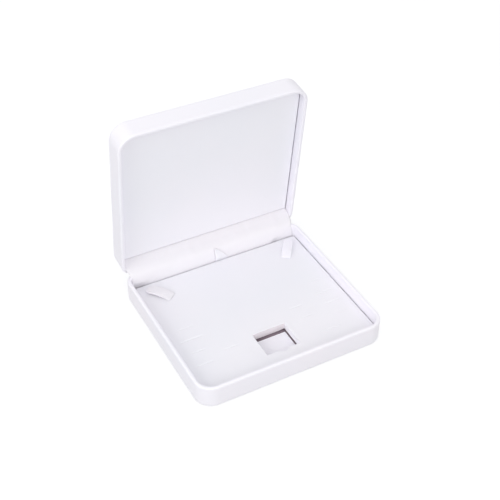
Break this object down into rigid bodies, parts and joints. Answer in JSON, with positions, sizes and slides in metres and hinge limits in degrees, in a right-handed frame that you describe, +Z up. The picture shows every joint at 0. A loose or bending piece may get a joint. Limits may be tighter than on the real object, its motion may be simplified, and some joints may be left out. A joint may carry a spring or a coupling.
{
  "type": "necklace presentation case",
  "caption": "Hinged leatherette presentation case standing open, with a lift-out display pad, a square well, raised chain tabs and a padded lid.",
  "frame": {"origin": "middle of the face that the case stands on", "axes": "+Z up, +X along the hinge to the right seen from the front, -Y towards the front, with the hinge at +Y"},
  "size_m": [0.18, 0.1856, 0.1825],
  "materials": {
    "shell_plastic": "moulded plastic shell under the covering",
    "leatherette": "white leatherette with a fine grain and a soft sheen",
    "pad_leatherette": "soft white leatherette over foam",
    "lining": "thin smooth lining",
    "board": "grey bookbinder's board",
    "foam": "soft foam sheet",
    "hinge_steel": "bright zinc-plated steel"
  },
  "bodies": {
    "base": {"base_shell": "shell_plastic", "base_wrap": "leatherette", "base_bottom_sheet": "lining", "base_floor_lining": "lining", "side_spacers": "board", "end_spacers": "board", "left_hinge_base_leaf": "hinge_steel", "right_hinge_base_leaf": "hinge_steel", "left_hinge_pin": "hinge_steel", "right_hinge_pin": "hinge_steel", "left_hinge_spring": "hinge_steel", "right_hinge_spring": "hinge_steel", "base_hinge_rivets": "hinge_steel", "hinge_cover_strip": "pad_leatherette"},
    "display_pad": {"insert_board": "board", "insert_foam": "foam", "insert_cover": "pad_leatherette", "left_tab_tail": "pad_leatherette", "right_tab_tail": "pad_leatherette", "lift_tab": "pad_leatherette"},
    "left_tab": {"left_chain_tab": "pad_leatherette", "left_tab_card": "board"},
    "right_tab": {"right_chain_tab": "pad_leatherette", "right_tab_card": "board"},
    "lid": {"lid_shell": "shell_plastic", "lid_wrap": "leatherette", "lid_pad_board": "board", "lid_pad_foam": "foam", "lid_pad_cover": "pad_leatherette", "lid_side_spacers": "board", "lid_end_spacers": "board", "left_hinge_lid_leaf": "hinge_steel", "right_hinge_lid_leaf": "hinge_steel", "lid_hinge_rivets": "hinge_steel"}
  },
  "joints": [
    {"name": "lid_hinge", "type": "hinge", "parent": "base", "child": "lid", "pos_m": [0, 0.081, 0.019], "axis": [1, 0, 0], "range_deg": [0, 83], "deforming": ["hinge_cover_strip", "left_hinge_spring", "right_hinge_spring"]},
    {"name": "pad_lift", "type": "slide", "parent": "base", "child": "display_pad", "axis": [0, 0, 1], "range_m": [0, 0.011]},
    {"name": "left_tab_bend", "type": "hinge", "parent": "display_pad", "child": "left_tab", "pos_m": [-0.07535, 0.06769, 0.0103], "axis": [-0.8141, -0.5807, 0], "range_deg": [0, 15], "stiffness_Nm_per_rad": 0.02, "springref_deg": -5.73},
    {"name": "right_tab_bend", "type": "hinge", "parent": "display_pad", "child": "right_tab", "pos_m": [0.07535, 0.06769, 0.0103], "axis": [-0.8141, 0.5807, 0], "range_deg": [0, 15], "stiffness_Nm_per_rad": 0.02, "springref_deg": -5.73}
  ]
}
